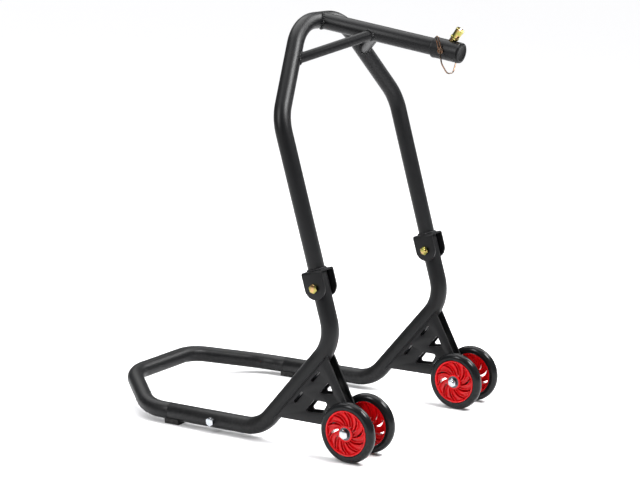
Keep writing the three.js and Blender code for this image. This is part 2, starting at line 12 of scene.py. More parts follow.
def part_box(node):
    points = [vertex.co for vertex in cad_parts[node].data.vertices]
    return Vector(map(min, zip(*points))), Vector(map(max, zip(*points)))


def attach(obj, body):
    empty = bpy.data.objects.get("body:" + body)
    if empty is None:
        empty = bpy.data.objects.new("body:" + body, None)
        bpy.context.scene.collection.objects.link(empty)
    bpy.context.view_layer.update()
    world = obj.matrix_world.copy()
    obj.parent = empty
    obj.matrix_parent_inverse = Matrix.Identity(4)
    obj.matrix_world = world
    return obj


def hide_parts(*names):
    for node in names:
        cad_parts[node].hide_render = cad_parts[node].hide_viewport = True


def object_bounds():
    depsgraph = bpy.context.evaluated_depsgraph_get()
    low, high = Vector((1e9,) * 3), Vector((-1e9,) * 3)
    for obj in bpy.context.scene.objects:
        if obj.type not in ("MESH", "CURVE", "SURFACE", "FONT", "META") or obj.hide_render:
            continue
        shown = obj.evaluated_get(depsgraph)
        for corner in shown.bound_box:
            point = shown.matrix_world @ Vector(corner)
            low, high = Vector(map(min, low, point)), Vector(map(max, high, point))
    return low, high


bl_info = {
    "name": "Paddock Stand",
    "version": (1, 0, 0),
    "blender": (4, 5, 0),
    "location": "View3D > Sidebar > Paddock Stand",
    "description": "Builds the tubes, wheels, hinges and stem pin of a front paddock stand",
    "category": "Add Mesh",
}

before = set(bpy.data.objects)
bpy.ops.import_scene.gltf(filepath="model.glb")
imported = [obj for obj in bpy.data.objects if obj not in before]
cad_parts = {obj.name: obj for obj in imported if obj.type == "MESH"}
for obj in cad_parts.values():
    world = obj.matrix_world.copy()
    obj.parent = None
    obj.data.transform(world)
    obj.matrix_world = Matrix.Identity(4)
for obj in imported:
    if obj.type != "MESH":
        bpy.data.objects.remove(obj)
CAD_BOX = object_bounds()
MM = 0.001
X_AXIS = Vector((1, 0, 0))
Z_AXIS = Vector((0, 0, 1))
SIDES = (("right", 1), ("left", -1))
WHEELS = tuple((side, place) for side, _ in SIDES for place in ("outer", "inner"))


def middle(node):
    low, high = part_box(node)
    return (low + high) / 2


# ------------------------------------------------------------------ places taken from the frame

AXLE = Vector((0, *middle("tyre_right_outer")[1:]))
TRACK_HALF = middle("side_tube_right").x
WHEEL_RADIUS = AXLE.z
HINGE = Vector((0, *middle("hinge_bush_right")[1:]))
SEAM_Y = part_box("side_tube_right")[0].y
BASE_HEIGHT = middle("joint_sleeve_right").z
JOINT_BOLT_Y = middle("handle_bolt_right").y


# ------------------------------------------------------------------ sizes and colours a user may change


def length(name, description, default):
    return bpy.props.FloatProperty(name=name, description=description, default=default, unit="LENGTH")


def angle(name, description, degrees):
    return bpy.props.FloatProperty(
        name=name, description=description, default=math.radians(degrees), subtype="ANGLE"
    )


def colour(name, description, default):
    return bpy.props.FloatVectorProperty(
        name=name, description=description, default=default, subtype="COLOR", min=0, max=1
    )


class TubeSizes(bpy.types.PropertyGroup):
    """Bent tubes of the base and of the folding upper frame."""

    side_radius: length("Side tube radius", "Outer radius of the base tubes and the handle", 18.6 * MM)
    upper_radius: length("Upper tube radius", "Outer radius of the folding frame and its arm", 17.5 * MM)
    brace_radius: length("Brace radius", "Outer radius of the two braces under the arm", 10.6 * MM)
    wall: length("Tube wall", "Wall thickness of every tube", 2 * MM)
    side_bend: length("Side bend", "Bend radius of the side tubes", 85 * MM)
    shoulder_bend: length("Shoulder bend", "Bend radius where the legs lean inwards", 90 * MM)
    top_bend: length("Top bend", "Bend radius at the top of the folding frame", 110 * MM)
    lean: angle("Lean", "How far the folding frame leans back", 14.8)
    arm_drop: angle("Arm drop", "How far the arm slopes down towards the front", 9.9)
    arm_length: length("Arm length", "Length of the arm from the top bar's axis", 339 * MM)
    weld: length("Weld radius", "Radius of a weld bead", 2.3 * MM)


class WheelSizes(bpy.types.PropertyGroup):
    """Moulded wheels with rubber tyres."""

    tyre_half_width: length("Tyre half width", "Half the width of a tyre", 11 * MM)
    rim_radius: length("Rim radius", "Radius at which the tyre meets the hub", 47 * MM)
    hub_half_width: length("Hub half width", "Half the width of a hub's boss", 12 * MM)
    boss_radius: length("Boss radius", "Outer radius of the boss round the bearings", 16.5 * MM)
    spokes: bpy.props.IntProperty(
        name="Spokes", description="Number of swept spokes", default=10, min=5, max=16
    )
    sweep: angle("Spoke sweep", "How far round a spoke turns on its way out", 38)


class PinSizes(bpy.types.PropertyGroup):
    """Sleeve, stem pin and lock pin at the arm's free end."""

    sleeve_radius: length("Sleeve radius", "Outer radius of the sleeve on the arm", 21 * MM)
    sleeve_length: length("Sleeve length", "Length of the sleeve on the arm", 60 * MM)
    crossing: length("Crossing", "Distance along the arm where both pins cross", 306 * MM)
    stem_tilt: angle("Stem tilt", "Forward tilt of the stem pin", 39)
    stem_radius: length("Stem radius", "Radius of the stem pin's body", 9.3 * MM)
    stem_top: length("Stem top", "Height of the stem pin above the crossing", 53 * MM)
    wire_radius: length("Wire radius", "Radius of the lock pin's wire bail", 1.5 * MM)


class StandColours(bpy.types.PropertyGroup):
    """Colours of the finishes."""

    powder: colour("Powder coat", "Satin black coat on the tubes and plates", (0.0027, 0.0028, 0.0032))
    tyre: colour("Tyre", "Glossy black tyre", (0.005, 0.0052, 0.0056))
    hub: colour("Hub", "Glossy red moulding", (0.56, 0.0035, 0.006))
    zinc: colour("Bright zinc", "Plated axle and handle bolts and nuts", (0.46, 0.47, 0.49))
    steel: colour("Bearing steel", "Shields and rings of the bearings", (0.09, 0.09, 0.10))
    passivate: colour("Yellow zinc", "Yellow passivated hinge bolts and stem pin", (0.28, 0.24, 0.07))
    bronze: colour("Bronze zinc", "Darker passivated lock pin and wire", (0.11, 0.078, 0.055))
    rubber: colour("Foot rubber", "Rubber feet", (0.014, 0.014, 0.014))
    floor: colour("Floor", "Pale studio floor", (0.86, 0.86, 0.87))


def settings():
    scene = bpy.context.scene
    return scene.stand_tubes, scene.stand_wheels, scene.stand_pins, scene.stand_colours


# ------------------------------------------------------------------ hand tools


def deselect():
    bpy.ops.object.select_all(action="DESELECT")


def activate(piece):
    deselect()
    piece.select_set(True)
    bpy.context.view_layer.objects.active = piece


def edit_all(piece):
    activate(piece)
    bpy.ops.object.mode_set(mode="EDIT")
    pick_all()


def leave_edit():
    bpy.ops.object.mode_set(mode="OBJECT")


def pick_all():
    bpy.ops.mesh.select_all(action="SELECT")


def pick_none():
    bpy.ops.mesh.select_all(action="DESELECT")


def settled():
    """The object just added, with its place taken into its mesh."""
    bpy.ops.object.transform_apply(location=True, rotation=True, scale=True)
    return bpy.context.object


def towards(direction, base=Z_AXIS):
    return base.rotation_difference(direction).to_euler()


def ring(radius, sides, centre, direction):
    deselect()
    bpy.ops.mesh.primitive_circle_add(
        vertices=sides, radius=radius, location=centre, rotation=towards(direction)
    )
    return settled()


def rod(radius, start, end, sides=48):
    deselect()
    bpy.ops.mesh.primitive_cylinder_add(
        vertices=sides, radius=radius, depth=(end - start).length,
        location=(start + end) / 2, rotation=towards(end - start),
    )
    return settled()


def push(step):
    bpy.ops.mesh.extrude_region_move(TRANSFORM_OT_translate={"value": step})


def swing(turn, centre, axis, steps):
    """Spins the selection by a right-handed turn. The operator itself counts the other way."""
    bpy.ops.mesh.spin(steps=steps, angle=-turn, center=centre, axis=axis)


def follow(corners, bends, step=math.radians(3.5)):
    """Extrudes the selected ring along the straights and spins it round the bends."""
    here = corners[0]
    for corner, after, bend in zip(corners[1:-1], corners[2:], bends):
        incoming = (corner - here).normalized()
        outgoing = (after - corner).normalized()
        turn = incoming.angle(outgoing)
        reach = bend * math.tan(turn / 2)
        start = corner - incoming * reach
        push(start - here)
        axis = incoming.cross(outgoing).normalized()
        swing(turn, start + axis.cross(incoming) * bend, axis, max(3, round(turn / step)))
        here = corner + outgoing * reach
    push(corners[-1] - here)


def apply_modifier(piece, kind, **values):
    activate(piece)
    modifier = piece.modifiers.new(kind.lower(), kind)
    for key, value in values.items():
        setattr(modifier, key, value)
    bpy.ops.object.modifier_apply(modifier=modifier.name)


def ease_edges(piece, width, segments=2, limit=35):
    apply_modifier(
        piece, "BEVEL", width=width, segments=segments,
        limit_method="ANGLE", angle_limit=math.radians(limit), use_clamp_overlap=True,
    )


def smooth(piece, limit=34):
    activate(piece)
    bpy.ops.object.shade_smooth_by_angle(angle=math.radians(limit))


def carve(piece, tool, operation="DIFFERENCE"):
    apply_modifier(piece, "BOOLEAN", object=tool, operation=operation, solver="EXACT")
    bpy.data.objects.remove(tool)


def weld_points(piece, distance=1e-6):
    edit_all(piece)
    bpy.ops.mesh.remove_doubles(threshold=distance)
    bpy.ops.mesh.normals_make_consistent(inside=False)
    leave_edit()


def face_outwards(piece, inside_point):
    """Turns an open shell round if its first face looks towards a point inside it."""
    face = piece.data.polygons[0]
    if face.normal.dot(face.center - inside_point) < 0:
        edit_all(piece)
        bpy.ops.mesh.flip_normals()
        leave_edit()


def tube(corners, bends, radius, wall, sides=56):
    """A hollow bent tube, open at both ends."""
    direction = (corners[1] - corners[0]).normalized()
    piece = ring(radius, sides, corners[0], direction)
    edit_all(piece)
    follow(corners, bends)
    leave_edit()
    face_outwards(piece, corners[0])
    apply_modifier(piece, "SOLIDIFY", thickness=wall, offset=-1, use_rim=True)
    ease_edges(piece, 0.4 * MM, 2, 60)
    smooth(piece)
    return piece


def wire(corners, bends, radius, sides=14):
    """Solid round wire with eased ends."""
    direction = (corners[1] - corners[0]).normalized()
    piece = ring(radius, sides, corners[0], direction)
    edit_all(piece)
    bpy.ops.mesh.edge_face_add()
    pick_all()
    follow(corners, bends, math.radians(8))
    leave_edit()
    weld_points(piece)
    ease_edges(piece, radius * 0.35, 2, 60)
    smooth(piece)
    return piece


def drawn(points):
    """A line of edges drawn by extruding one vertex from point to point."""
    deselect()
    bpy.ops.mesh.primitive_plane_add(size=MM, location=points[0])
    piece = settled()
    edit_all(piece)
    bpy.ops.mesh.merge(type="CENTER")
    for before, after in zip(points, points[1:]):
        push(after - before)
    pick_all()
    bpy.ops.mesh.remove_doubles(threshold=1e-7)
    return piece


def turned(profile, steps=64):
    """A solid turned about +X at the origin, from (along, radius) pairs in millimetres."""
    piece = drawn([Vector((along, 0, radius)) * MM for along, radius in profile])
    pick_all()
    bpy.ops.mesh.spin(
        steps=steps, angle=2 * math.pi, center=(0, 0, 0), axis=X_AXIS, use_auto_merge=True
    )
    leave_edit()
    weld_points(piece)
    return piece


def closed_profile(profile):
    return [*profile, profile[0]]


def moved(piece, matrix):
    """Takes a turn and a place into the piece's mesh."""
    piece.matrix_world = matrix
    activate(piece)
    bpy.ops.object.transform_apply(location=True, rotation=True, scale=True)
    return piece


def copied(piece, matrix):
    activate(piece)
    bpy.ops.object.duplicate()
    return moved(bpy.context.object, matrix)


def joined(pieces):
    deselect()
    for piece in pieces:
        piece.select_set(True)
    bpy.context.view_layer.objects.active = pieces[0]
    bpy.ops.object.join()
    return bpy.context.object


def discard(*pieces):
    for piece in pieces:
        bpy.data.objects.remove(piece)


def hand_over(piece, name, finish, body, *nodes):
    """Names a finished piece, gives it its finish and ties it to the frame."""
    piece.name = name
    piece.data.name = name
    piece.data.materials.clear()
    piece.data.materials.append(bpy.data.materials[f"{finish}_finish"])
    if nodes:
        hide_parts(*nodes)
    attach(piece, body)


def coated(piece, name, body, *nodes):
    """Hands over a piece that has the black powder coat."""
    hand_over(piece, name, "powder_coat_black", body, *nodes)


def mirror_turn(sign):
    """Turns a fastener built for the right side so that its head faces outwards on the left."""
    return Matrix.Rotation(0 if sign > 0 else math.pi, 4, "Z")


# ------------------------------------------------------------------ routes


def lean():
    return bpy.context.scene.stand_tubes.lean


def leg_up():
    return Vector((0, -math.sin(lean()), math.cos(lean())))


def along_leg(distance, x=0.0):
    point = HINGE + leg_up() * distance
    return Vector((x, point.y, point.z))


SIDE_TUBE_TOP = 30 * MM
FLOOR_BEND = Vector((0, -240.5 * MM, BASE_HEIGHT))
KNEE = Vector((0, -55.3 * MM, 233.7 * MM))


def side_corners(x):
    return [
        Vector((x, SEAM_Y, BASE_HEIGHT)),
        Vector((x, AXLE.y + FLOOR_BEND.y, FLOOR_BEND.z)),
        Vector((x, AXLE.y + KNEE.y, KNEE.z)),
        along_leg(SIDE_TUBE_TOP, x),
    ]


def there_and_back(half):
    return [*half, *[Vector((-p.x, p.y, p.z)) for p in reversed(half)]]


HANDLE_CORNER_Y = -543 * MM
HANDLE_GRIP = Vector((107 * MM, -678 * MM, 55 * MM))
HANDLE_BENDS = (115 * MM, 80 * MM)
SEAM_GAP = 0.3 * MM


def handle_corners():
    return there_and_back([
        Vector((TRACK_HALF, SEAM_Y - SEAM_GAP, BASE_HEIGHT)),
        Vector((TRACK_HALF, AXLE.y + HANDLE_CORNER_Y, BASE_HEIGHT)),
        Vector((HANDLE_GRIP.x, AXLE.y + HANDLE_GRIP.y, HANDLE_GRIP.z)),
    ])


LEG_START = 34.7 * MM
SHOULDER = (222 * MM, 345.6 * MM)
TOP_CORNER = (79 * MM, 532.8 * MM)


def upper_corners():
    return there_and_back([
        along_leg(LEG_START, TRACK_HALF),
        along_leg(SHOULDER[1], SHOULDER[0]),
        along_leg(TOP_CORNER[1], TOP_CORNER[0]),
    ])


def arm_forward():
    drop = bpy.context.scene.stand_tubes.arm_drop
    return Vector((0, math.cos(drop), -math.sin(drop)))


def along_arm(distance):
    return along_leg(TOP_CORNER[1]) + arm_forward() * distance


def pin_crossing():
    return along_arm(bpy.context.scene.stand_pins.crossing)


# ------------------------------------------------------------------ weld beads

WELD_PITCH = 4.0 * MM
WELD_STEP = 0.8 * MM
WELD_SINK = 0.6 * MM
WELD_RIPPLE = 0.34  # how much thinner a bead is between two dips
BRACE_WELD = 1.6  # the arm and the braces have heavier beads than the rest


def even_points(points, closed):
    """The same line with points at an even spacing."""
    line = [*points, points[0]] if closed else list(points)
    spaced = [line[0]]
    left = WELD_STEP
    for a, b in zip(line, line[1:]):
        span = (b - a).length
        at = left
        while at <= span:
            spaced.append(a.lerp(b, at / span))
            at += WELD_STEP
        left = at - span
    if closed and (spaced[-1] - spaced[0]).length < WELD_STEP * 0.6:
        spaced.pop()
    return spaced


def bead(points, radius, closed=True):
    """A weld bead laid along a line, with the ripple that each dip of the rod leaves."""
    spaced = even_points(points, closed)
    curve = bpy.data.curves.new("bead", "CURVE")
    curve.dimensions = "3D"
    curve.bevel_depth = radius
    curve.bevel_resolution = 2
    curve.use_fill_caps = not closed
    spline = curve.splines.new("POLY")
    spline.points.add(len(spaced) - 1)
    for i, point in enumerate(spaced):
        spline.points[i].co = (*point, 1)
        ripple = abs(math.sin(math.pi * i * WELD_STEP / WELD_PITCH))
        spline.points[i].radius = 1 - WELD_RIPPLE + WELD_RIPPLE * ripple
    spline.use_cyclic_u = closed
    piece = bpy.data.objects.new("bead", curve)
    bpy.context.scene.collection.objects.link(piece)
    activate(piece)
    bpy.ops.object.convert(target="MESH")
    piece = bpy.context.object
    weld_points(piece)
    smooth(piece, 60)
    return piece


def saddle(start, direction, radius, axis_point, axis, big, count=120):
    """Where a small tube, running from start, first meets the surface of a bigger one."""
    across = direction.orthogonal().normalized()
    other = direction.cross(across)
    points = []
    for k in range(count):
        turn = 2 * math.pi * k / count
        edge = start + (across * math.cos(turn) + other * math.sin(turn)) * radius
        flat = direction - axis * direction.dot(axis)
        offset = edge - axis_point
        offset -= axis * offset.dot(axis)
        a, b, c = flat.dot(flat), flat.dot(offset), offset.dot(offset) - big * big
        points.append(edge + direction * ((-b - math.sqrt(b * b - a * c)) / a))
    return points


def circle_points(centre, axis, radius, count=90):
    across = axis.orthogonal().normalized()
    other = axis.cross(across)
    return [
        centre + (across * math.cos(t) + other * math.sin(t)) * radius
        for t in (2 * math.pi * k / count for k in range(count))
    ]


# ------------------------------------------------------------------ shader groups

FLOAT = "NodeSocketFloat"
VECTOR = "NodeSocketVector"


def new_group(name, inputs, outputs):
    """A shader node group with float and vector sockets."""
    group = bpy.data.node_groups.new(name, "ShaderNodeTree")
    for label, kind, default in inputs:
        socket = group.interface.new_socket(label, in_out="INPUT", socket_type=kind)
        if default is not None:
            socket.default_value = default
    for label, kind in outputs:
        group.interface.new_socket(label, in_out="OUTPUT", socket_type=kind)
    return group, group.nodes.new("NodeGroupInput"), group.nodes.new("NodeGroupOutput")


def put(tree, kind, inputs, **settings):
    """Adds a shader node. Each input is another node's output or a plain value."""
    node = tree.nodes.new(f"ShaderNode{kind}")
    for key, value in settings.items():
        setattr(node, key, value)
    for key, value in inputs.items():
        if isinstance(value, bpy.types.NodeSocket):
            tree.links.new(value, node.inputs[key])
        else:
            node.inputs[key].default_value = value
    return node


def fine_grain_group():
    """Small pits and a slow wander in the gloss, as on a coated or moulded surface."""
    group, source, sink = new_group(
        "fine_grain",
        [("Vector", VECTOR, None), ("Scale", FLOAT, 900.0), ("Depth", FLOAT, 0.1),
         ("Gloss", FLOAT, 0.4), ("Wander", FLOAT, 0.08)],
        [("Normal", VECTOR), ("Roughness", FLOAT), ("Mask", FLOAT)],
    )
    given = source.outputs
    pits = put(group, "TexNoise", {"Vector": given["Vector"], "Scale": given["Scale"], "Detail": 3})
    bump = put(group, "Bump", {
        "Distance": 0.3 * MM, "Strength": given["Depth"], "Height": pits.outputs["Fac"],
    })
    slow = put(group, "TexNoise", {"Vector": given["Vector"], "Scale": 14, "Detail": 4})
    centred = put(group, "Math", {0: slow.outputs["Fac"], 1: 0.5}, operation="SUBTRACT")
    spread = put(
        group, "Math", {0: centred.outputs[0], 1: given["Wander"], 2: given["Gloss"]},
        operation="MULTIPLY_ADD",
    )
    group.links.new(bump.outputs["Normal"], sink.inputs["Normal"])
    group.links.new(spread.outputs[0], sink.inputs["Roughness"])
    group.links.new(slow.outputs["Fac"], sink.inputs["Mask"])


def floor_dust_group():
    """A mask that is strongest near the floor and broken up by noise."""
    group, source, sink = new_group(
        "floor_dust",
        [("Vector", VECTOR, None), ("Reach", FLOAT, 0.09), ("Amount", FLOAT, 0.2)],
        [("Mask", FLOAT)],
    )
    given = source.outputs
    parts = put(group, "SeparateXYZ", {0: given["Vector"]})
    height = put(group, "MapRange", {
        "Value": parts.outputs["Z"], "From Min": 0, "From Max": given["Reach"], "To Min": 1, "To Max": 0,
    })
    specks = put(group, "TexNoise", {"Vector": given["Vector"], "Scale": 160, "Detail": 6})
    broken = put(group, "MapRange", {"Value": specks.outputs["Fac"], "From Min": 0.42, "From Max": 0.72})
    both = put(group, "Math", {0: height.outputs[0], 1: broken.outputs[0]}, operation="MULTIPLY")
    amount = put(group, "Math", {0: both.outputs[0], 1: given["Amount"]}, operation="MULTIPLY")
    group.links.new(amount.outputs[0], sink.inputs["Mask"])


def new_finish(name):
    material = bpy.data.materials.new(f"{name}_finish")
    material.use_nodes = True
    shader = material.node_tree.nodes["Principled BSDF"]
    coordinates = material.node_tree.nodes.new("ShaderNodeTexCoord")
    return material.node_tree, shader, coordinates.outputs["Object"]


def placed_group(tree, name, place, **values):
    return put(tree, "Group", {"Vector": place, **values}, node_tree=bpy.data.node_groups[name])


def mixed(tree, mask, below, above):
    """A colour over another colour or over a node's output, as far as the mask says."""
    if not isinstance(below, bpy.types.NodeSocket):
        below = (*below, 1)
    mix = put(tree, "Mix", {"Factor": mask, "A": below, "B": (*above, 1)}, data_type="RGBA")
    return mix.outputs["Result"]


DUST = (0.16, 0.155, 0.15)
GRAIN_ON_METAL = {"Scale": 1500, "Depth": 0.06, "Wander": 0.2}
GRAIN_DRAWN_OUT = (0.25, 1, 1)
TINT_STOPS = (0.36, 0.5, 0.66)  # where the warm, the plain and the cool tint lie in the noise


def scaled(rgb, factor):
    return tuple(min(1.0, part * factor) for part in rgb)


def dress(tree, shader, tone, grain):
    tree.links.new(tone, shader.inputs["Base Color"])
    for label in ("Roughness", "Normal"):
        tree.links.new(grain.outputs[label], shader.inputs[label])


def grained_finish(name, base, gloss, specular, scale, depth, wander, dust, variation=1.35):
    """A coated or moulded finish: grain, gloss that wanders, slight tone and floor dust."""
    tree, shader, place = new_finish(name)
    shader.inputs["Specular IOR Level"].default_value = specular
    grain = placed_group(tree, "fine_grain", place, Scale=scale, Depth=depth, Gloss=gloss, Wander=wander)
    tone = mixed(tree, grain.outputs["Mask"], base, scaled(base, variation))
    if dust > 0:
        dirt = placed_group(tree, "floor_dust", place, Amount=dust)
        tone = mixed(tree, dirt.outputs["Mask"], tone, DUST)
    dress(tree, shader, tone, grain)
    return shader


def plated_finish(name, base, gloss, warm, cool):
    """Plated metal whose colour drifts between three tints, with a grain drawn out along X."""
    tree, shader, place = new_finish(name)
    shader.inputs["Metallic"].default_value = 1.0
    stretch = put(tree, "Mapping", {"Vector": place, "Scale": GRAIN_DRAWN_OUT})
    grain = placed_group(tree, "fine_grain", stretch.outputs["Vector"], Gloss=gloss, **GRAIN_ON_METAL)
    film = put(tree, "TexNoise", {"Vector": place, "Scale": 95, "Detail": 2})
    tint = put(tree, "ValToRGB", {"Fac": film.outputs["Fac"]})
    stops = tint.color_ramp.elements
    stops[0].position = TINT_STOPS[0]
    stops[0].color = (*warm, 1)
    stops[1].position = TINT_STOPS[2]
    stops[1].color = (*cool, 1)
    stops.new(TINT_STOPS[1]).color = (*base, 1)
    dress(tree, shader, tint.outputs["Color"], grain)


class STAND_OT_finishes(bpy.types.Operator):
    """Makes the shader groups and the finishes, and gives them to the nodes that stay"""

    bl_idname = "stand.finishes"
    bl_label = "Finishes"

    def execute(self, context):
        colours = context.scene.stand_colours
        fine_grain_group()
        floor_dust_group()
        powder, zinc, steel = colours.powder, colours.zinc, colours.steel
        grained_finish("powder_coat_black", powder, gloss=0.4, specular=0.18,
                       scale=400, depth=0.5, wander=0.1, dust=0.06)
        grained_finish("tyre_black", colours.tyre, gloss=0.16, specular=0.14,
                       scale=420, depth=0.04, wander=0.14, dust=0.06)
        hub = grained_finish("hub_red", colours.hub, gloss=0.2, specular=0.15,
                             scale=500, depth=0.03, wander=0.08, dust=0.05, variation=0.8)
        hub.inputs["Coat Weight"].default_value = 0.1
        hub.inputs["Coat Roughness"].default_value = 0.12
        grained_finish("foot_rubber", colours.rubber, gloss=0.72, specular=0.15,
                       scale=900, depth=0.3, wander=0.15, dust=0.15)
        grained_finish("cap_black", scaled(powder, 0.8), gloss=0.42, specular=0.1,
                       scale=1300, depth=0.2, wander=0.08, dust=0)
        plated_finish("zinc_bright", zinc, gloss=0.16, warm=scaled(zinc, 0.82), cool=(0.40, 0.45, 0.49))
        plated_finish("bearing_steel", steel, gloss=0.3, warm=scaled(steel, 0.8), cool=(0.12, 0.13, 0.15))
        plated_finish("zinc_yellow", colours.passivate, gloss=0.2,
                      warm=(0.42, 0.25, 0.12), cool=(0.20, 0.22, 0.05))
        plated_finish("zinc_bronze", colours.bronze, gloss=0.2,
                      warm=(0.19, 0.10, 0.06), cool=scaled(colours.bronze, 0.5))
        for side, _ in SIDES:
            for node in (f"joint_sleeve_{side}", f"hinge_bush_{side}"):
                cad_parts[node].material_slots[0].material = bpy.data.materials["zinc_bright_finish"]
        return {"FINISHED"}


# ------------------------------------------------------------------ base

PLATE_OUTSIDE = 14.6 * MM  # from the tube's middle to a gusset plate's outer face
PLATE_EDGE = 0.7 * MM
GUSSET_WELD = 0.8  # times the usual bead
GUSSET_WELD_START = 62 * MM  # above the floor
GUSSET_WELD_STOP = 1 * MM  # below the plate's top
FOOT_HEIGHT = 12 * MM
FOOT_EDGE = 1.2 * MM
RELIEF_BLOCK = Vector((60, 40, 20)) * MM
RELIEF_TURN = math.radians(20)


def plate_from_cad(node):
    """A copy of a cut plate's mesh with its edges eased."""
    activate(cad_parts[node])
    bpy.ops.object.duplicate()
    piece = bpy.context.object
    piece.parent = None
    for key in list(piece.keys()):
        del piece[key]
    edit_all(piece)
    bpy.ops.mesh.remove_doubles(threshold=1e-5)
    bpy.ops.mesh.dissolve_limited(angle_limit=math.radians(1))
    leave_edit()
    ease_edges(piece, PLATE_EDGE, 2, 40)
    smooth(piece, 40)
    return piece


def gusset_weld_points(x, sign):
    """Along the side tube's front, where a gusset plate's outer face meets it."""
    tubes = bpy.context.scene.stand_tubes
    reach = math.sqrt(tubes.side_radius ** 2 - PLATE_OUTSIDE ** 2)
    plate_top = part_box("gusset_outer_right")[1].z
    corners = side_corners(0)
    slope = (corners[2] - corners[1]).normalized()
    front = slope.cross(X_AXIS)
    start_share = (GUSSET_WELD_START - corners[1].z) / (corners[2].z - corners[1].z)
    start = corners[1].lerp(corners[2], start_share) + front * reach
    turn_angle = slope.angle((corners[3] - corners[2]).normalized())
    bend = tubes.side_bend
    tangent = bend * math.tan(turn_angle / 2)
    bend_start = corners[2] - slope * tangent
    centre = bend_start - front * bend
    points = [start, bend_start + front * reach]
    steps = 16
    for k in range(1, steps + 1):
        turn = turn_angle * k / steps
        out = front * math.cos(turn) + slope * math.sin(turn)
        point = centre + out * (bend + reach)
        if point.z > plate_top - GUSSET_WELD_STOP:
            break
        points.append(point)
    return [Vector((x + sign * PLATE_OUTSIDE, p.y, p.z)) for p in points]


class STAND_OT_side_frames(bpy.types.Operator):
    """Bends the two side tubes, welds the gusset plates to them and fits the rubber feet"""

    bl_idname = "stand.side_frames"
    bl_label = "Side frames"

    def execute(self, context):
        tubes = context.scene.stand_tubes
        for side, sign in SIDES:
            x = sign * TRACK_HALF
            bends = (tubes.side_bend, tubes.side_bend)
            piece = tube(side_corners(x), bends, tubes.side_radius, tubes.wall)
            self.relieve_end(piece, x)
            coated(piece, f"side_tube_look_{side}", "base", f"side_tube_{side}")
            for face, out in (("outer", sign), ("inner", -sign)):
                node = f"gusset_{face}_{side}"
                coated(plate_from_cad(node), f"{node}_look", "base", node)
                weld = bead(gusset_weld_points(x, out), tubes.weld * GUSSET_WELD, closed=False)
                coated(weld, f"gusset_weld_{face}_{side}", "base")
            self.foot(side, x)
        return {"FINISHED"}

    def relieve_end(self, piece, x):
        """Cuts the rear corner off the tube's end, which clears the bracket as it folds."""
        deselect()
        bpy.ops.mesh.primitive_cube_add(size=1, scale=RELIEF_BLOCK)
        block = settled()
        top = Matrix.Translation(along_leg(SIDE_TUBE_TOP, x))
        tilt = Matrix.Rotation(lean() + RELIEF_TURN, 4, "X")
        corner = Matrix.Translation(Vector((0, -RELIEF_BLOCK.y, RELIEF_BLOCK.z)) / 2)
        moved(block, top @ tilt @ corner)
        carve(piece, block)
        smooth(piece)

    def foot(self, side, x):
        """A rubber block whose top is hollowed to the side tube."""
        low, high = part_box(f"foot_{side}")
        size = high - low
        size.z = FOOT_HEIGHT
        deselect()
        bpy.ops.mesh.primitive_cube_add(
            size=1, scale=size, location=(x, (low.y + high.y) / 2, size.z / 2)
        )
        piece = settled()
        tubes = bpy.context.scene.stand_tubes
        rear = Vector((x, low.y - size.y, BASE_HEIGHT))
        front = Vector((x, high.y + size.y, BASE_HEIGHT))
        carve(piece, rod(tubes.side_radius + SEAM_GAP, rear, front, 64))
        ease_edges(piece, FOOT_EDGE, 3, 50)
        smooth(piece, 40)
        hand_over(piece, f"foot_look_{side}", "foot_rubber", "base", f"foot_{side}")


class STAND_OT_handle(bpy.types.Operator):
    """Bends the rear handle"""

    bl_idname = "stand.handle"
    bl_label = "Rear handle"

    def execute(self, context):
        tubes = context.scene.stand_tubes
        corner, grip = HANDLE_BENDS
        piece = tube(handle_corners(), (corner, grip, grip, corner), tubes.side_radius, tubes.wall)
        coated(piece, "rear_handle_look", "base", "rear_handle")
        return {"FINISHED"}


# ------------------------------------------------------------------ wheels


def close_open_ends(piece):
    edit_all(piece)
    pick_none()
    bpy.ops.mesh.select_non_manifold(extend=False)
    bpy.ops.mesh.edge_face_add()
    leave_edit()


def swept_rib(start_turn, sweep, inner, outer, half_width, depth):
    """A thin rib in the wheel's plane that leaves the boss outwards and swings round to the rim."""
    start = Vector((0, math.cos(start_turn), math.sin(start_turn))) * inner
    end_turn = start_turn + sweep
    end = Vector((0, math.cos(end_turn), math.sin(end_turn))) * outer
    leaving = Matrix.Rotation(0.5 * sweep, 3, "X") @ start.normalized()
    side = X_AXIS.cross(leaving)
    chord = end - start
    bend = chord.length_squared / (2 * chord.dot(side))
    turn = 2 * math.asin(chord.length / (2 * abs(bend)))
    deselect()
    bpy.ops.mesh.primitive_plane_add(size=1)
    piece = settled()
    for vertex in piece.data.vertices:
        across, along, _ = vertex.co
        vertex.co = start + side * (2 * half_width * along) + X_AXIS * (depth * across)
    edit_all(piece)
    swing(turn, start + side * bend, X_AXIS, 9)
    leave_edit()
    close_open_ends(piece)
    weld_points(piece)
    return piece


# A hub blade: two tall ridges with a lower web of three overlapping ribs between them.
# Each has its lead in radians, then its half width and depth in millimetres.
BLADE_RIBS = ((0.16, 0.75, 17.5), (-0.16, 0.75, 17.5), (0.085, 2.4, 9.6), (0, 2.4, 10), (-0.085, 2.4, 9.3))
BLADE_FAN = 0.4  # how much further a leading rib is swept, as a share of its lead
CROWN_FULLNESS = 0.86  # 1 is a plain ellipse, and less is fuller
BEARING_POCKET = {"depth": 8.3, "radius": 13.3, "bore": 8.2}  # millimetres


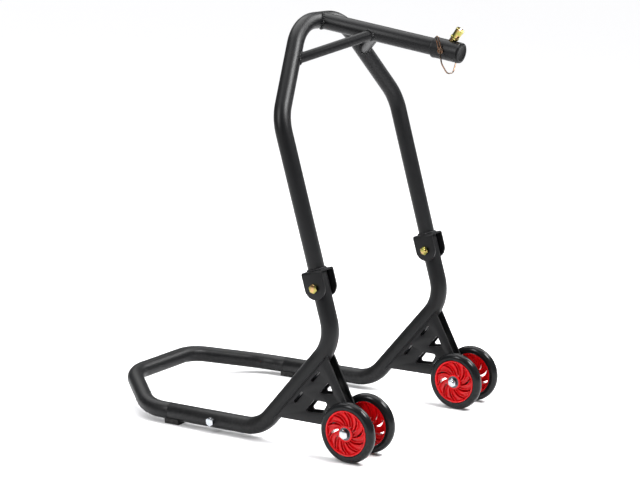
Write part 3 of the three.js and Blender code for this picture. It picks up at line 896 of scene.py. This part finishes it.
class STAND_OT_wheels(bpy.types.Operator):
    """Turns a tyre, a bearing and a spoked hub, and copies them to the four wheels"""

    bl_idname = "stand.wheels"
    bl_label = "Wheels"

    def execute(self, context):
        sizes = context.scene.stand_wheels
        tyre = self.tyre(sizes)
        hub = self.hub(sizes)
        bearing = self.bearing()
        for side, place in WHEELS:
            label = f"{side}_{place}"
            body = f"wheel_{label}"
            centre = Matrix.Translation(middle(f"tyre_{label}"))
            hand_over(copied(tyre, centre), f"tyre_look_{label}", "tyre_black", body, f"tyre_{label}")
            hand_over(copied(hub, centre), f"hub_look_{label}", "hub_red", body, f"wheel_hub_{label}")
            for letter in "ab":
                node = f"bearing_{label}_{letter}"
                seat = Matrix.Translation(middle(node))
                facing = Matrix.Rotation(math.pi if letter == "a" else 0, 4, "Z")
                hand_over(copied(bearing, seat @ facing), f"{node}_look", "bearing_steel", body, node)
        discard(tyre, hub, bearing)
        return {"FINISHED"}

    def tyre(self, sizes):
        """A round-crowned tyre with a lip on each side where it meets the rim."""
        seat = sizes.rim_radius / MM + 0.3
        half = sizes.tyre_half_width / MM
        crown = WHEEL_RADIUS / MM
        middle_radius = seat + 4.6
        profile = [(-half + 2.2, seat), (-half + 0.9, seat + 0.5), (-half + 0.5, seat + 1.2),
                   (-half + 0.9, seat + 1.9)]
        steps = 26
        for k in range(steps + 1):
            turn = math.pi * k / steps
            swell = max(0.0, math.sin(turn)) ** CROWN_FULLNESS
            profile.append((-half * math.cos(turn), middle_radius + (crown - middle_radius) * swell))
        profile += [(half - 0.9, seat + 1.9), (half - 0.5, seat + 1.2), (half - 0.9, seat + 0.5),
                    (half - 2.2, seat)]
        piece = turned(closed_profile(profile), 128)
        smooth(piece, 50)
        return piece

    def hub(self, sizes):
        rim = sizes.rim_radius / MM
        boss = sizes.boss_radius / MM
        half = sizes.hub_half_width / MM
        face = half - 2
        ring_profile = [(-face, rim), (-face, rim - 2.4), (-face + 1.2, rim - 3.0), (-2.2, rim - 5.8),
                        (2.2, rim - 5.8), (face - 1.2, rim - 3.0), (face, rim - 2.4), (face, rim)]
        outer_ring = turned(closed_profile(ring_profile), 96)
        ease_edges(outer_ring, 0.4 * MM, 2, 30)
        pocket, bore = BEARING_POCKET["radius"], BEARING_POCKET["bore"]
        seat = half - BEARING_POCKET["depth"]
        boss_profile = [(-half, pocket), (-half, boss - 0.8), (-half + 0.8, boss), (half - 0.8, boss),
                        (half, boss - 0.8), (half, pocket), (seat, pocket), (seat, bore),
                        (-seat, bore), (-seat, pocket)]
        middle_boss = turned(closed_profile(boss_profile), 72)
        pieces = [outer_ring, middle_boss]
        pitch = 2 * math.pi / sizes.spokes
        root = (boss - 0.6) * MM
        tip = (rim - 4.2) * MM
        for k in range(sizes.spokes):
            start = k * pitch
            for lead, half_width, depth in BLADE_RIBS:
                sweep = sizes.sweep + BLADE_FAN * lead
                rib = swept_rib(start + lead, sweep, root, tip, half_width * MM, depth * MM)
                ease_edges(rib, 0.35 * MM, 2, 50)
                pieces.append(rib)
        piece = joined(pieces)
        smooth(piece, 38)
        return piece

    def bearing(self):
        """A shielded ball bearing that faces +X."""
        profile = [(-4, BORE), (3.7, BORE), (4, 5.5), (4, 7.3), (3.7, 7.6), (3.3, 7.7), (3.3, 10.9),
                   (3.7, 11.0), (4, 11.3), (4, 12.7), (3.7, 13), (-4, 13)]
        piece = turned(closed_profile(profile), 64)
        smooth(piece, 30)
        return piece


# ------------------------------------------------------------------ fasteners

# In millimetres, as the profiles that are turned are.
ACROSS_FLATS = 17
HEAD_HEIGHT = 6.4
NUT_HEIGHT = 8.0
SHANK = 5.0
BORE = SHANK + 0.2
THREAD_PITCH = 1.5
THREAD_LENGTH = 15
BOLT_TAIL = 11  # from the nut's seat to the bolt's tip
WASHER_RADIUS = 8.1
WASHER_HEIGHT = 0.45
CHAMFER = math.radians(30)
SEATS = {"axle": 50.3, "handle": 18.9, "hinge": 23.3}  # half the length that a bolt clamps


def hexagon(start, end):
    """A hexagonal bar along X with both rims turned down, from start to end in millimetres."""
    corner = ACROSS_FLATS / math.sqrt(3)
    flat = ACROSS_FLATS / 2
    deselect()
    bpy.ops.mesh.primitive_cylinder_add(
        vertices=6, radius=corner * MM, depth=(end - start) * MM,
        rotation=(0, math.pi / 2, 0), location=((start + end) / 2 * MM, 0, 0),
    )
    piece = moved(settled(), Matrix.Rotation(math.pi / 6, 4, "X"))
    rise = (corner - flat + 0.35) * math.tan(CHAMFER)
    barrel = [(start - 0.1, 0), (start - 0.1, flat - 0.5), (start + rise, corner + 0.1),
              (end - rise, corner + 0.1), (end + 0.1, flat - 0.5), (end + 0.1, 0)]
    carve(piece, turned(barrel, 72), "INTERSECT")
    return piece


def thread(start, end):
    """Points of a thread's ridges between two stations, start above end."""
    points = []
    turns = int((start - end - 0.6) / THREAD_PITCH)
    for k in range(turns):
        at = start - k * THREAD_PITCH
        points += [(at, SHANK), (at - 0.5 * THREAD_PITCH, SHANK - 0.55)]
    points += [(end + 0.7, SHANK), (end, SHANK - 0.8)]
    return points


def bolt(seat, tip):
    """A hexagon bolt along X: its head sits on the seat at +x and its threaded tip is at -x."""
    head = hexagon(seat + 0.4, seat + HEAD_HEIGHT)
    top = seat + WASHER_HEIGHT
    washer = turned([(seat, 0), (seat, WASHER_RADIUS), (top, WASHER_RADIUS), (top, 0)], 48)
    ridges = thread(tip + THREAD_LENGTH, tip)
    shank = turned([(seat + 0.2, 0), (seat + 0.2, SHANK), *ridges, (tip, 0)], 32)
    piece = joined([head, washer, shank])
    smooth(piece, 32)
    return piece


def nut(seat):
    """A lock nut whose face sits on the seat, with its collar at -x."""
    back = seat - NUT_HEIGHT
    body = hexagon(back + 1.6, seat)
    carve(body, rod(BORE * MM, X_AXIS * -70 * MM, X_AXIS * 70 * MM, 32))
    collar_profile = [(back + 2, BORE), (back + 2, 7.3), (back + 0.9, 7.2), (back, 6.4), (back, BORE)]
    collar = turned(closed_profile(collar_profile), 48)
    piece = joined([body, collar])
    smooth(piece, 32)
    return piece


def spacer(half, radius):
    rounded = half - 0.4
    profile = [(-half, BORE), (-half, radius - 0.4), (-rounded, radius), (rounded, radius),
               (half, radius - 0.4), (half, BORE)]
    piece = turned(closed_profile(profile), 48)
    smooth(piece, 30)
    return piece


class STAND_OT_fasteners(bpy.types.Operator):
    """Makes the axle, handle and hinge bolts with their nuts and spacers"""

    bl_idname = "stand.fasteners"
    bl_label = "Fasteners"

    def execute(self, context):
        for side, sign in SIDES:
            centre = Matrix.Translation(Vector((sign * TRACK_HALF, AXLE.y, AXLE.z)))
            joint = Matrix.Translation(Vector((sign * TRACK_HALF, JOINT_BOLT_Y, BASE_HEIGHT)))
            hinge = Matrix.Translation(Vector((sign * TRACK_HALF, HINGE.y, HINGE.z)))
            hinge = hinge @ Matrix.Rotation(lean(), 4, "X")
            self.pair("axle", side, centre @ mirror_turn(sign), "zinc_bright")
            self.pair("handle", side, joint @ mirror_turn(sign), "zinc_bright")
            self.pair("hinge", side, hinge @ mirror_turn(sign), "zinc_yellow")
            self.spacers(side)
        return {"FINISHED"}

    def pair(self, kind, side, place, finish):
        """A bolt and its nut, with seats at the same distance either side of the middle."""
        seat = SEATS[kind]
        for label, piece in (("bolt", bolt(seat, -seat - BOLT_TAIL)), ("nut", nut(-seat))):
            node = f"{kind}_{label}_{side}"
            hand_over(moved(piece, place), f"{node}_look", finish, "base", node)

    def spacers(self, side):
        for label in ("middle", "outer", "inner"):
            node = f"axle_spacer_{label}_{side}"
            low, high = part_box(node)
            half = (high.x - low.x) / 2 / MM
            piece = spacer(half, (high.z - low.z) / 2 / MM)
            place = Matrix.Translation(middle(node))
            hand_over(moved(piece, place), f"{node}_look", "zinc_bright", "base", node)


# ------------------------------------------------------------------ folding hinges

# In millimetres from the hinge bolt's axis.
BRACKET = {"inside": 19.0, "thickness": 4.0, "radius": 24.5, "top": 34.4, "fold": 5.5}
LEG_WELD_LIFT = 0.9 * MM  # above the bracket's web
LEG_WELD_OUT = 0.8 * MM  # outside the leg
LEG_WELD = 1.25  # times the usual bead


class STAND_OT_hinges(bpy.types.Operator):
    """Folds the channel-shaped hinge brackets and welds the legs to them"""

    bl_idname = "stand.hinges"
    bl_label = "Hinge brackets"

    def execute(self, context):
        tubes = context.scene.stand_tubes
        for side, sign in SIDES:
            x = sign * TRACK_HALF
            place = Matrix.Translation(Vector((x, HINGE.y, HINGE.z)))
            place = place @ Matrix.Rotation(lean(), 4, "X")
            node = f"hinge_bracket_{side}"
            piece = moved(self.bracket(), place)
            coated(piece, f"{node}_look", "upper_frame", node)
            foot_of_leg = along_leg(BRACKET["top"] * MM + LEG_WELD_LIFT, x)
            around = circle_points(foot_of_leg, leg_up(), tubes.upper_radius + LEG_WELD_OUT)
            weld = bead(around, tubes.weld * LEG_WELD)
            coated(weld, f"leg_weld_{side}", "upper_frame")
        return {"FINISHED"}

    def bracket(self):
        """A strip folded into a channel, with the lower ends of its cheeks rounded."""
        outside = BRACKET["inside"] + BRACKET["thickness"]
        top, radius, low = BRACKET["top"], BRACKET["radius"], -BRACKET["radius"] - 4
        line = [Vector((x, -radius, z)) * MM
                for x, z in ((-outside, low), (-outside, top), (outside, top), (outside, low))]
        piece = drawn(line)
        pick_all()
        push(Vector((0, 2 * radius, 0)) * MM)
        leave_edit()
        self.round_folds(piece, top * MM)
        face_outwards(piece, Vector((0, 0, 0)))
        apply_modifier(piece, "SOLIDIFY", thickness=BRACKET["thickness"] * MM, offset=-1, use_rim=True)
        outline = [Vector((-40, radius * math.cos(t), radius * math.sin(t))) * MM
                   for t in (math.pi + math.pi * k / 32 for k in range(33))]
        outline += [Vector((-40, radius, top + 10)) * MM, Vector((-40, -radius, top + 10)) * MM]
        blank = drawn([*outline, outline[0]])
        pick_all()
        bpy.ops.mesh.edge_face_add()
        pick_all()
        push(Vector((80, 0, 0)) * MM)
        leave_edit()
        weld_points(blank)
        carve(piece, blank, "INTERSECT")
        ease_edges(piece, 0.9 * MM, 3, 40)
        smooth(piece, 34)
        return piece

    def round_folds(self, piece, top):
        """Rounds the two edges where the web folds down into the cheeks."""
        edit_all(piece)
        pick_none()
        leave_edit()
        for edge in piece.data.edges:
            ends = [piece.data.vertices[i].co for i in edge.vertices]
            runs_along = abs(ends[0].y - ends[1].y) > BRACKET["radius"] * MM
            edge.select = runs_along and all(abs(p.z - top) < 0.1 * MM for p in ends)
        bpy.ops.object.mode_set(mode="EDIT")
        bpy.ops.mesh.bevel(offset=BRACKET["fold"] * MM, segments=6, affect="EDGES")
        leave_edit()


# ------------------------------------------------------------------ upper frame

BRACE_ON_SHOULDER = 0.59
BRACE_ON_ARM = 139 * MM
BRACE_OFF_CENTRE = 4 * MM
FIT = 0.15 * MM  # left between a tube's saddle and the tube it sits on


def brace_ends(sign):
    corners = upper_corners()
    on_shoulder = corners[1].lerp(corners[2], BRACE_ON_SHOULDER)
    on_arm = along_arm(BRACE_ON_ARM)
    return Vector((sign * on_shoulder.x, *on_shoulder[1:])), Vector((sign * BRACE_OFF_CENTRE, *on_arm[1:]))


def far_rod(radius, point, direction, reach=70 * MM, sides=56):
    return rod(radius, point - direction * reach, point + direction * reach, sides)


class STAND_OT_upper_frame(bpy.types.Operator):
    """Bends the folding frame and welds on its arm and braces"""

    bl_idname = "stand.upper_frame"
    bl_label = "Upper frame"

    def execute(self, context):
        tubes = context.scene.stand_tubes
        radius = tubes.upper_radius
        bends = (tubes.shoulder_bend, tubes.top_bend, tubes.top_bend, tubes.shoulder_bend)
        hoop = tube(upper_corners(), bends, radius, tubes.wall)
        self.keep(hoop, "upper_frame_look", "upper_frame_tube")
        root = along_arm(0)
        arm = tube([root, along_arm(tubes.arm_length)], (), radius, tubes.wall)
        carve(arm, far_rod(radius + FIT, root, X_AXIS))
        smooth(arm)
        self.keep(arm, "arm_look", "arm_tube")
        forward = arm_forward()
        junction = along_arm(BRACE_ON_ARM)
        arm_line = saddle(junction, -forward, radius - WELD_SINK, root, X_AXIS, radius)
        arm_weld = bead(arm_line, tubes.weld * BRACE_WELD)
        for vertex in arm_weld.data.vertices:
            vertex.co.z = min(vertex.co.z, CAD_BOX[1][2])  # dressed flush on top
        self.keep(arm_weld, "arm_weld")
        corners = upper_corners()
        for side, sign in SIDES:
            low, high = brace_ends(sign)
            along = (high - low).normalized()
            slant = corners[2] - corners[1]
            slant = Vector((sign * slant.x, slant.y, slant.z)).normalized()
            brace = tube([low, high], (), tubes.brace_radius, tubes.wall, 40)
            carve(brace, far_rod(radius + FIT, low, slant))
            carve(brace, far_rod(radius + FIT, junction, forward))
            smooth(brace)
            self.keep(brace, f"brace_look_{side}", f"brace_{side}")
            half_way = (low + high) / 2
            small = tubes.brace_radius - WELD_SINK
            low_line = saddle(half_way, -along, small, low, slant, radius)
            high_line = saddle(half_way, along, small, junction, forward, radius)
            self.keep(bead(low_line, tubes.weld * BRACE_WELD), f"brace_weld_low_{side}")
            self.keep(bead(high_line, tubes.weld * BRACE_WELD), f"brace_weld_high_{side}")
        return {"FINISHED"}

    def keep(self, piece, name, *nodes):
        coated(piece, name, "upper_frame", *nodes)


# ------------------------------------------------------------------ head of the arm


def arm_axis_frame(distance):
    """Takes +X to the arm's direction at a distance along it."""
    forward = arm_forward()
    turn = X_AXIS.rotation_difference(forward).to_matrix().to_4x4()
    return Matrix.Translation(along_arm(distance)) @ turn


SLEEVE_WELD = 0.6  # times the usual bead
SLEEVE_WELD_BACK = 0.6 * MM
SLEEVE_WELD_OUT = 0.7 * MM
PIN_TIP = 28.5  # millimetres from the stand's middle to the lock pin's far end
PIN_RADIUS = 4
HAIRPIN_RADIUS = 1.3 * MM
HAIRPIN_BEND = 2.5 * MM
BAIL_BENDS = (14 * MM, 16 * MM, 16 * MM, 14 * MM)


class STAND_OT_head(bpy.types.Operator):
    """Turns the sleeve, its cap, the stem pin and the lock pin with its wires"""

    bl_idname = "stand.head"
    bl_label = "Head of the arm"

    def execute(self, context):
        tubes, _, pins, _ = settings()
        end = tubes.arm_length
        start = end - pins.sleeve_length
        length_mm = pins.sleeve_length / MM
        outer = pins.sleeve_radius / MM
        bore = tubes.upper_radius / MM + 0.3
        sleeve_profile = [(0, bore), (0, outer), (0.6, outer + 0.6), (4.6, outer + 0.6), (6.4, outer),
                          (length_mm - 0.8, outer), (length_mm, outer - 0.8), (length_mm, bore)]
        sleeve = turned(closed_profile(sleeve_profile), 80)
        smooth(sleeve, 30)
        moved(sleeve, arm_axis_frame(start))
        coated(sleeve, "head_sleeve_look", "upper_frame", "head_sleeve")
        seam = along_arm(start - SLEEVE_WELD_BACK)
        around = circle_points(seam, arm_forward(), tubes.upper_radius + SLEEVE_WELD_OUT)
        coated(bead(around, tubes.weld * SLEEVE_WELD), "sleeve_weld", "upper_frame")
        cap_profile = [(-9, 0), (-9, 15), (0.3, 15), (0.3, outer - 0.9), (1.5, outer - 0.6),
                       (2.4, outer - 1), (3, outer - 2.2), (3, outer - 4.4), (2.2, outer - 5.2),
                       (1.7, outer - 6.2), (1.6, 0)]
        cap = turned(cap_profile, 80)
        smooth(cap, 30)
        moved(cap, arm_axis_frame(end))
        hand_over(cap, "end_cap_look", "cap_black", "upper_frame", "end_cap")
        self.stem_pin(pins)
        self.lock_pin(pins)
        self.bail(pins)
        return {"FINISHED"}

    def stem_pin(self, pins):
        """A neck, a collar and a flared body with a dished end."""
        top = pins.stem_top / MM
        wide = pins.stem_radius / MM
        profile = [(-15, 0), (-15, 6.5), (-14, 7.5), (28.6, 7.5), (29.3, 7.9), (30, wide - 0.5),
                   (30.5, wide), (33.2, wide), (33.8, wide - 0.6), (34.6, wide - 1.1),
                   (36, wide - 1.0), (top - 6, wide - 0.7), (top - 2.6, wide - 0.2), (top - 1, wide),
                   (top - 0.2, wide - 0.5), (top, wide - 1.1), (top, wide - 2), (top - 1, wide - 3.2),
                   (top - 3, wide - 5.4), (top - 4, wide - 8), (top - 4.1, 0)]
        piece = turned(profile, 64)
        smooth(piece, 34)
        upright = Matrix.Rotation(-math.pi / 2, 4, "Y")
        tilt = Matrix.Rotation(-pins.stem_tilt, 4, "X")
        moved(piece, Matrix.Translation(pin_crossing()) @ tilt @ upright)
        hand_over(piece, "stem_pin_look", "zinc_yellow", "upper_frame", "stem_pin")

    def lock_pin(self, pins):
        """A pin across the sleeve with a hollowed head and a hairpin of wire above it."""
        start = pins.sleeve_radius / MM + 0.6
        profile = [(-PIN_TIP, 0), (-PIN_TIP, PIN_RADIUS - 1), (0.9 - PIN_TIP, PIN_RADIUS),
                   (start, PIN_RADIUS), (start, 5.6), (start + 0.5, 6.2), (start + 3.3, 6.2),
                   (start + 4, 5.6), (start + 4, 3.4), (start + 3.5, 2.8), (start + 1.6, 2.6),
                   (start + 1.5, 0)]
        shank = turned(profile, 48)
        wire_x = start + 2.2
        hairpin = wire(
            [Vector(point) * MM for point in
             ((wire_x, 3, 0), (wire_x, -5.5, 29), (wire_x, -10.5, 27.5), (wire_x, -3, 0))],
            (HAIRPIN_BEND, HAIRPIN_BEND), HAIRPIN_RADIUS,
        )
        piece = joined([shank, hairpin])
        smooth(piece, 36)
        moved(piece, Matrix.Translation(pin_crossing()))
        hand_over(piece, "lock_pin_look", "zinc_bronze", "upper_frame", "lock_pin")

    def bail(self, pins):
        """The wire that hangs under the sleeve and hooks over the pin's far end."""
        radius = pins.wire_radius / MM
        near = pins.sleeve_radius / MM + 4.9 + radius
        far = -PIN_TIP - 0.6 - radius
        drop, forward = 47, 9
        points = [(near, 0, 2.5), (near, 0.55 * forward, -0.55 * drop), (12, forward, -drop),
                  (-12, forward, -drop), (far, 0.6 * forward, -0.6 * drop), (far, 0.7, 4)]
        piece = wire([Vector(point) * MM for point in points], BAIL_BENDS, pins.wire_radius)
        moved(piece, Matrix.Translation(pin_crossing()))
        hand_over(piece, "lock_wire_look", "zinc_bronze", "lock_wire", "lock_wire")


# ------------------------------------------------------------------ stage

CAMERA_OFFSET = Vector((3.0713, 1.8176, 1.1110))  # from the floor under the wheels' axle
CAMERA_BACK = Vector((0.8163, 0.5447, 0.1922))
CAMERA_UP = Vector((-0.1688, -0.0932, 0.9812))
CAMERA_LENS = 98.3
SUN_DIRECTION = Vector((-0.25, -0.35, 1))
SUN_SPREAD = math.radians(60)
SUN_STRENGTH = 3.3
SKY_STRENGTH = 0.22


def soft_light(name, place, target, size, power):
    deselect()
    bpy.ops.object.light_add(type="AREA", location=place)
    lamp = bpy.context.object
    lamp.name = name
    lamp.rotation_euler = (Vector(place) - Vector(target)).to_track_quat("Z", "Y").to_euler()
    lamp.data.shape = "RECTANGLE"
    lamp.data.size, lamp.data.size_y = size
    lamp.data.energy = power
    lamp.visible_camera = False


class STAND_OT_stage(bpy.types.Operator):
    """Lays the pale floor, hangs the studio lights and sets the camera"""

    bl_idname = "stand.stage"
    bl_label = "Stage"

    def execute(self, context):
        self.floor(context)
        self.sky(context)
        self.lights()
        self.camera(context)
        context.scene.view_settings.view_transform = "Standard"
        return {"FINISHED"}

    def floor(self, context):
        deselect()
        bpy.ops.mesh.primitive_grid_add(x_subdivisions=8, y_subdivisions=8, size=60)
        floor = settled()
        floor.name = "studio_floor"
        tree, shader, place = new_finish("studio_floor")
        grain = placed_group(tree, "fine_grain", place, Scale=60.0, Depth=0.02, Gloss=0.6, Wander=0.06)
        shade = tuple(context.scene.stand_colours.floor)
        tone = mixed(tree, grain.outputs["Mask"], shade, scaled(shade, 1.01))
        tree.links.new(tone, shader.inputs["Base Color"])
        tree.links.new(grain.outputs["Roughness"], shader.inputs["Roughness"])
        shader.inputs["Specular IOR Level"].default_value = 0.2
        floor.data.materials.append(bpy.data.materials["studio_floor_finish"])

    def sky(self, context):
        world = bpy.data.worlds.new("studio")
        world.use_nodes = True
        background = world.node_tree.nodes["Background"]
        background.inputs["Color"].default_value = (1, 1, 1, 1)
        background.inputs["Strength"].default_value = SKY_STRENGTH
        tree = world.node_tree
        seen = put(tree, "LightPath", {})
        backdrop = put(tree, "Background", {"Color": (1, 1, 1, 1)})
        choice = put(tree, "MixShader", {
            "Fac": seen.outputs["Is Camera Ray"], 1: background.outputs[0], 2: backdrop.outputs[0],
        })
        tree.links.new(choice.outputs[0], tree.nodes["World Output"].inputs["Surface"])
        context.scene.world = world

    def lights(self):
        deselect()
        bpy.ops.object.light_add(type="SUN", location=(0, 0, 4))
        sun = bpy.context.object
        sun.name = "overhead_sun"
        sun.rotation_euler = SUN_DIRECTION.to_track_quat("Z", "Y").to_euler()
        sun.data.angle = SUN_SPREAD
        sun.data.energy = SUN_STRENGTH
        soft_light("front_box", place=(-0.15, 1.5, 2.2), target=(0.15, -0.2, 0.75),
                   size=(1.1, 0.8), power=115)
        soft_light("left_bank", place=(2.5, -0.9, 2.3), target=(0, 0, 0.85), size=(0.7, 1.8), power=70)
        soft_light("rear_bank", place=(-2.6, 1.0, 2.4), target=(0, 0, 0.5), size=(1.2, 1.6), power=80)

    def camera(self, context):
        deselect()
        bpy.ops.object.camera_add(location=Vector((0, AXLE.y, 0)) + CAMERA_OFFSET)
        camera = bpy.context.object
        back = CAMERA_BACK.normalized()
        across = CAMERA_UP.cross(back).normalized()
        up = back.cross(across)
        camera.rotation_euler = Matrix((across, up, back)).transposed().to_euler()
        camera.data.lens = CAMERA_LENS
        camera.data.sensor_width = 36
        camera.data.clip_end = 100
        context.scene.camera = camera


# ------------------------------------------------------------------ panel and registration


class STAND_PT_panel(bpy.types.Panel):
    """Lists the stand's pieces in the order in which they are built"""

    bl_idname = "STAND_PT_panel"
    bl_label = "Paddock Stand"
    bl_space_type = "VIEW_3D"
    bl_region_type = "UI"
    bl_category = "Paddock Stand"

    def draw(self, context):
        for operator in OPERATORS:
            self.layout.operator(operator.bl_idname)
        for group in settings():
            column = self.layout.box().column()
            for name in group.bl_rna.properties.keys():
                if name not in ("rna_type", "name"):
                    column.prop(group, name)


GROUPS = {
    "stand_tubes": TubeSizes,
    "stand_wheels": WheelSizes,
    "stand_pins": PinSizes,
    "stand_colours": StandColours,
}
OPERATORS = (
    STAND_OT_finishes,
    STAND_OT_stage,
    STAND_OT_side_frames,
    STAND_OT_handle,
    STAND_OT_wheels,
    STAND_OT_fasteners,
    STAND_OT_hinges,
    STAND_OT_upper_frame,
    STAND_OT_head,
)
CLASSES = (*GROUPS.values(), *OPERATORS, STAND_PT_panel)


def register():
    for cls in CLASSES:
        bpy.utils.register_class(cls)
    for name, group in GROUPS.items():
        setattr(bpy.types.Scene, name, bpy.props.PointerProperty(type=group))


def unregister():
    for name in GROUPS:
        delattr(bpy.types.Scene, name)
    for cls in reversed(CLASSES):
        bpy.utils.unregister_class(cls)


def main():
    register()
    for operator in OPERATORS:
        category, name = operator.bl_idname.split(".")
        getattr(getattr(bpy.ops, category), name)()


if __name__ == "__main__":
    main()
